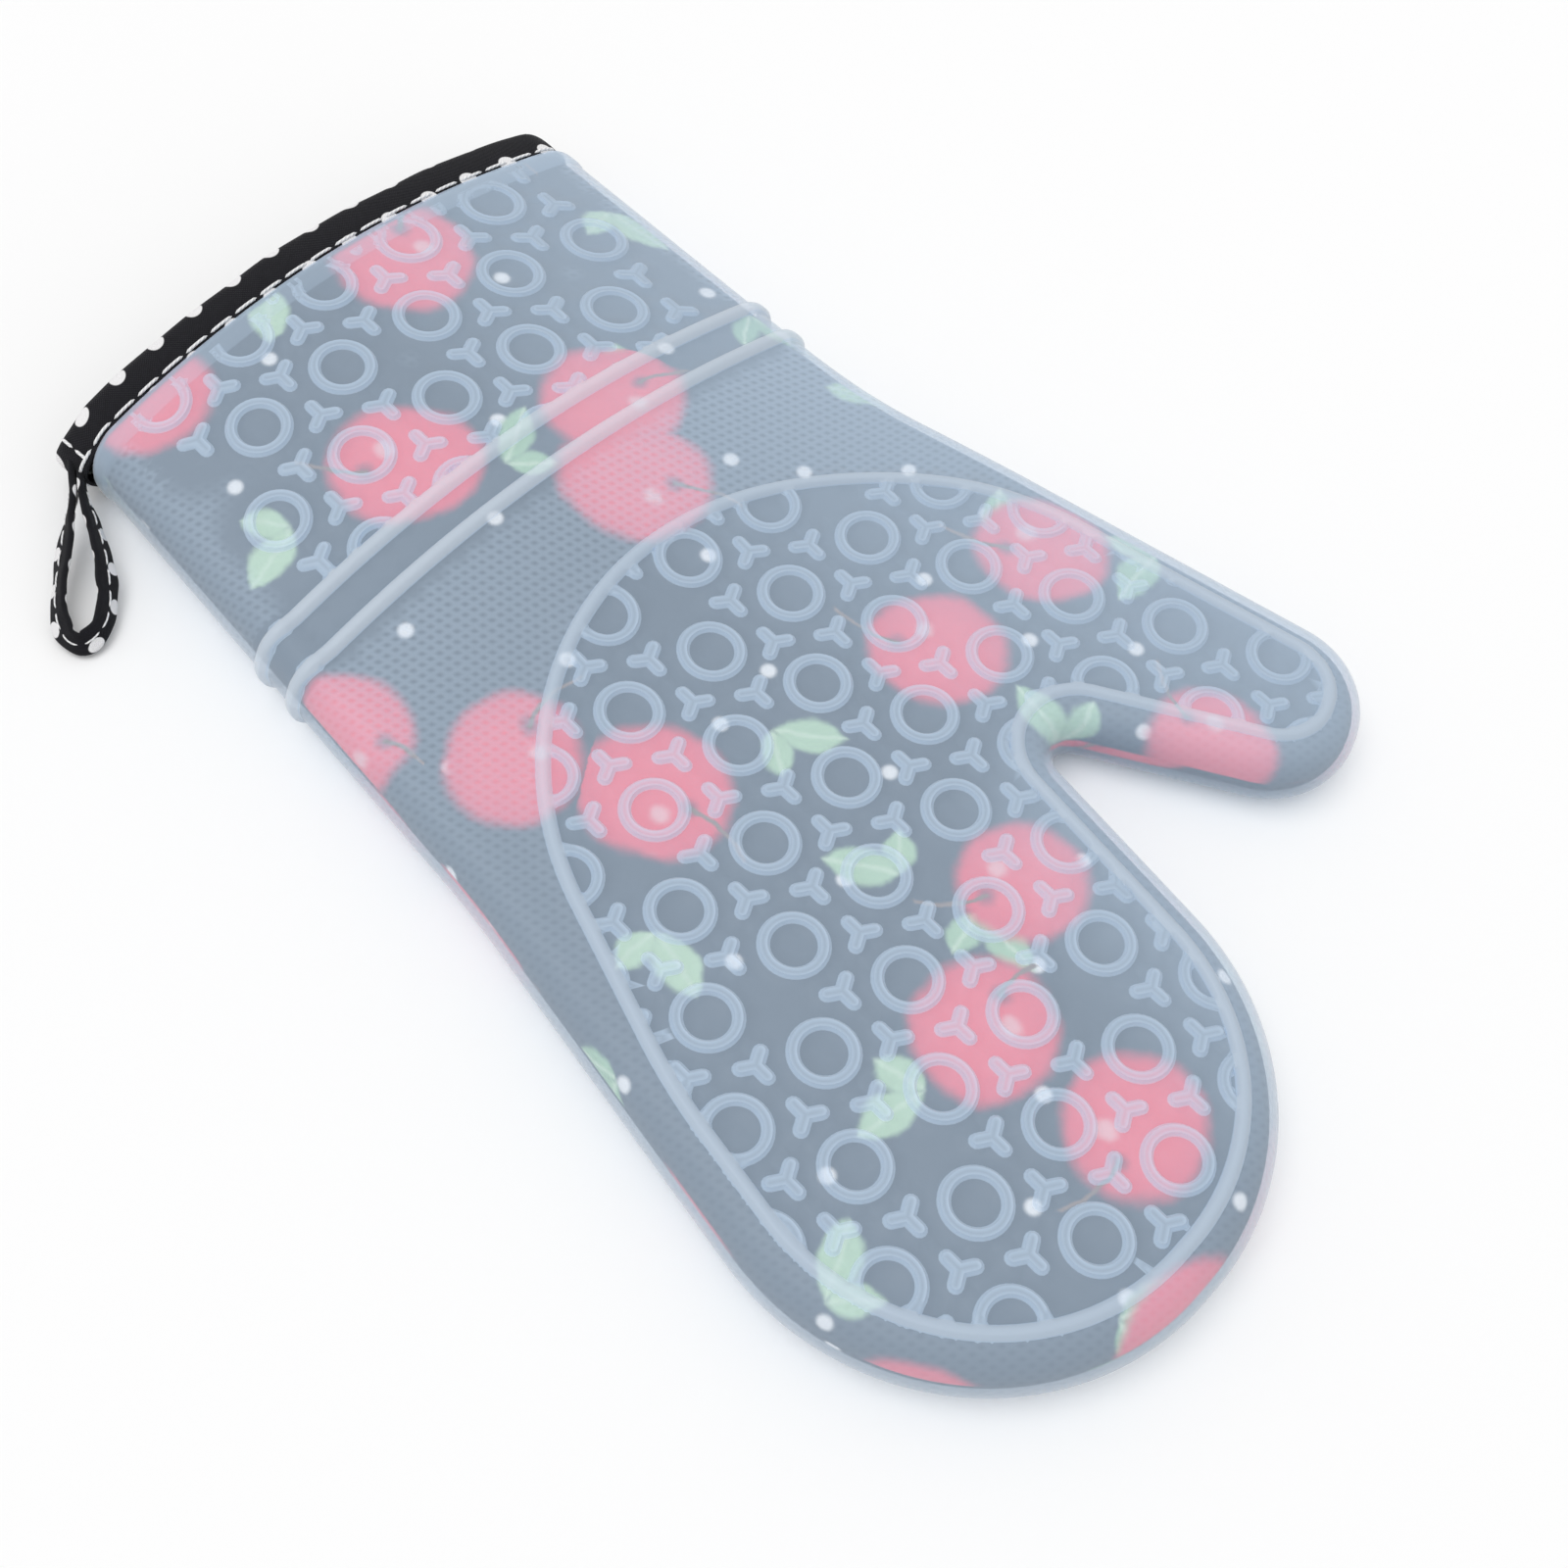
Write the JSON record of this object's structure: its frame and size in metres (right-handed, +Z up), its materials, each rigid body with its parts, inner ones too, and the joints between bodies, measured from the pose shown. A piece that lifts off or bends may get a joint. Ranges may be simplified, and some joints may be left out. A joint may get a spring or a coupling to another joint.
{
  "type": "oven mitt",
  "caption": "Oven mitt with a translucent silicone grip shell over a padded cotton liner; bound cuff with a hanging loop; thumb folds towards the palm.",
  "frame": {"origin": "on the table under the middle of the whole mitt", "axes": "+X from the cuff to the fingertips, +Y towards the thumb, +Z up through the palm"},
  "size_m": [0.3396, 0.2216, 0.0303],
  "materials": {
    "silicone": "translucent satin moulding with a fine knurl",
    "printed_cotton": "black plain weave printed with fruit, leaves and dots",
    "wadding": "white needled fibre",
    "lining": "plain off-white weave",
    "binding_tape": "black bias tape with white polka dots",
    "thread": "white sewing thread"
  },
  "bodies": {
    "mitt": {"silicone_shell_hand": "silicone", "printed_cotton_palm_hand": "printed_cotton", "printed_cotton_back_hand": "printed_cotton", "wadding_palm_hand": "wadding", "wadding_back_hand": "wadding", "lining_palm_hand": "lining", "lining_back_hand": "lining", "cuff_binding": "binding_tape", "binding_stitching": "thread"},
    "thumb": {"silicone_shell_thumb": "silicone", "printed_cotton_palm_thumb": "printed_cotton", "printed_cotton_back_thumb": "printed_cotton", "wadding_palm_thumb": "wadding", "wadding_back_thumb": "wadding", "lining_palm_thumb": "lining", "lining_back_thumb": "lining"},
    "loop": {"hanging_loop": "binding_tape"}
  },
  "joints": [
    {"name": "thumb_fold", "type": "hinge", "parent": "mitt", "child": "thumb", "pos_m": [0.05828, 0.06057, 0.0232], "axis": [0.9397, -0.342, 0], "range_deg": [0, 45], "stiffness_Nm_per_rad": 0.15},
    {"name": "loop_swing", "type": "hinge", "parent": "mitt", "child": "loop", "pos_m": [-0.164, -0.07559, 0.0116], "axis": [0, 0, 1], "range_deg": [-115, 0]}
  ]
}
